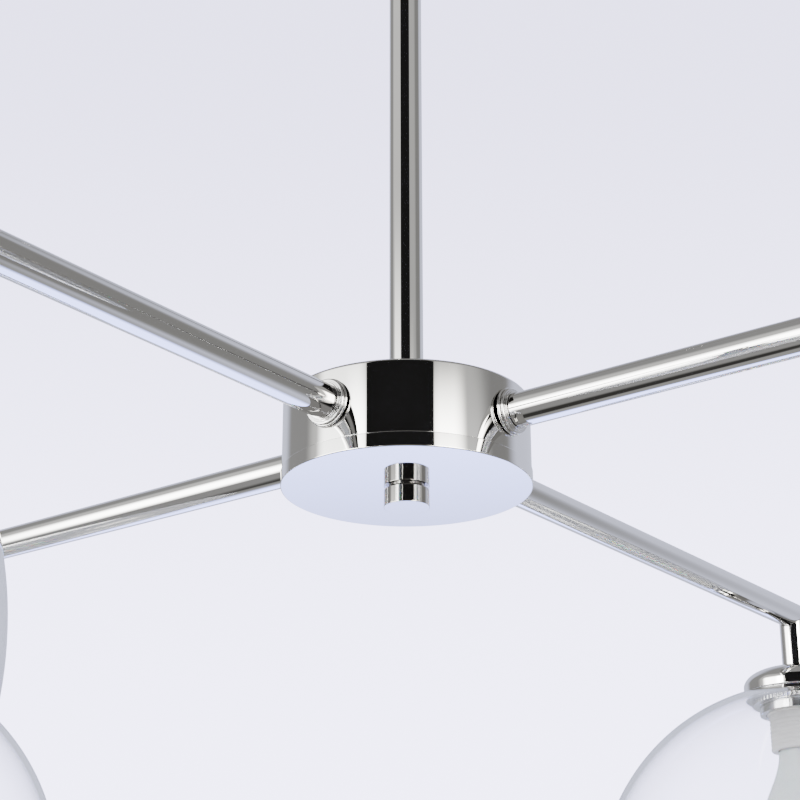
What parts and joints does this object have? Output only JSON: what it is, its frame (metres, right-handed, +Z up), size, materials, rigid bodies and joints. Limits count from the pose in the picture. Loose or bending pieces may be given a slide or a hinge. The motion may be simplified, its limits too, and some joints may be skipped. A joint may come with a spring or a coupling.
{
  "type": "chandelier",
  "caption": "Ceiling chandelier: canopy, swivel stem, round hub with a turned finial, straight tube arms at right angles, drop tubes, cups and open clear glass globes.",
  "frame": {"origin": "centre of the mounting strap's top face, on the ceiling plane", "axes": "+Z up, out of the ceiling; +X and +Y along two of the arms"},
  "size_m": [1.04, 1.04, 0.9612],
  "materials": {
    "polished_nickel": "polished nickel plate, mirror bright",
    "zinc_steel": "bright zinc plate, satin",
    "clear_glass": "clear blown glass, 3 mm",
    "bulb_glass": "clear bulb glass with a nickelled screw base",
    "white_phenolic": "moulded white phenolic, satin",
    "lead_insulation": "matt wire insulation"
  },
  "bodies": {
    "ceiling": {"mounting_strap": "zinc_steel", "canopy": "polished_nickel", "canopy_ring": "polished_nickel", "swivel_nut": "zinc_steel"},
    "yoke": {"swivel_yoke": "polished_nickel", "swivel_screw_1": "polished_nickel", "swivel_screw_2": "polished_nickel", "lead_upper": "lead_insulation"},
    "fixture": {"swivel_eye": "polished_nickel", "stem_upper": "polished_nickel", "stem_coupling": "polished_nickel", "stem_lower": "polished_nickel", "stem_nipple": "zinc_steel", "hub_nut": "zinc_steel", "hub_bracket": "zinc_steel", "lid_screw": "zinc_steel", "hub_body": "polished_nickel", "hub_lid": "polished_nickel", "wiring": "lead_insulation", "arm_nut_1": "zinc_steel", "arm_collar_1": "polished_nickel", "arm_1": "polished_nickel", "arm_cap_1": "polished_nickel", "drop_1": "polished_nickel", "shade_cup_1": "polished_nickel", "lampholder_1": "white_phenolic", "shade_1": "clear_glass", "arm_nut_2": "zinc_steel", "arm_collar_2": "polished_nickel", "arm_2": "polished_nickel", "arm_cap_2": "polished_nickel", "drop_2": "polished_nickel", "shade_cup_2": "polished_nickel", "lampholder_2": "white_phenolic", "shade_2": "clear_glass", "arm_nut_3": "zinc_steel", "arm_collar_3": "polished_nickel", "arm_3": "polished_nickel", "arm_cap_3": "polished_nickel", "drop_3": "polished_nickel", "shade_cup_3": "polished_nickel", "lampholder_3": "white_phenolic", "shade_3": "clear_glass", "arm_nut_4": "zinc_steel", "arm_collar_4": "polished_nickel", "arm_4": "polished_nickel", "arm_cap_4": "polished_nickel", "drop_4": "polished_nickel", "shade_cup_4": "polished_nickel", "lampholder_4": "white_phenolic", "shade_4": "clear_glass"},
    "finial": {"finial": "polished_nickel"},
    "shade_ring_1": {"shade_ring_1": "polished_nickel"},
    "bulb_1": {"bulb_1": "bulb_glass"},
    "shade_ring_2": {"shade_ring_2": "polished_nickel"},
    "bulb_2": {"bulb_2": "bulb_glass"},
    "shade_ring_3": {"shade_ring_3": "polished_nickel"},
    "bulb_3": {"bulb_3": "bulb_glass"},
    "shade_ring_4": {"shade_ring_4": "polished_nickel"},
    "bulb_4": {"bulb_4": "bulb_glass"}
  },
  "joints": [
    {"name": "swivel_turn", "type": "hinge", "parent": "ceiling", "child": "yoke", "pos_m": [0, 0, -0.04754], "axis": [0, 0, 1], "range_deg": [-170, 170]},
    {"name": "stem_tilt", "type": "hinge", "parent": "yoke", "child": "fixture", "pos_m": [0, 0, -0.04754], "axis": [1, 0, 0], "range_deg": [-45, 45]},
    {"name": "finial_turn", "type": "hinge", "parent": "fixture", "child": "finial", "pos_m": [0, 0, -0.71968], "axis": [0, 0, 1], "range_deg": [0, 720]},
    {"name": "shade_ring_1_turn", "type": "hinge", "parent": "fixture", "child": "shade_ring_1", "pos_m": [0.395, 0, -0.74758], "axis": [0, 0, 1], "range_deg": [0, 720]},
    {"name": "bulb_1_turn", "type": "hinge", "parent": "fixture", "child": "bulb_1", "pos_m": [0.395, 0, -0.77878], "axis": [0, 0, 1], "range_deg": [0, 900]},
    {"name": "shade_ring_2_turn", "type": "hinge", "parent": "fixture", "child": "shade_ring_2", "pos_m": [0, 0.395, -0.74758], "axis": [0, 0, 1], "range_deg": [0, 720]},
    {"name": "bulb_2_turn", "type": "hinge", "parent": "fixture", "child": "bulb_2", "pos_m": [0, 0.395, -0.77878], "axis": [0, 0, 1], "range_deg": [0, 900]},
    {"name": "shade_ring_3_turn", "type": "hinge", "parent": "fixture", "child": "shade_ring_3", "pos_m": [-0.395, 0, -0.74758], "axis": [0, 0, 1], "range_deg": [0, 720]},
    {"name": "bulb_3_turn", "type": "hinge", "parent": "fixture", "child": "bulb_3", "pos_m": [-0.395, 0, -0.77878], "axis": [0, 0, 1], "range_deg": [0, 900]},
    {"name": "shade_ring_4_turn", "type": "hinge", "parent": "fixture", "child": "shade_ring_4", "pos_m": [0, -0.395, -0.74758], "axis": [0, 0, 1], "range_deg": [0, 720]},
    {"name": "bulb_4_turn", "type": "hinge", "parent": "fixture", "child": "bulb_4", "pos_m": [0, -0.395, -0.77878], "axis": [0, 0, 1], "range_deg": [0, 900]}
  ]
}
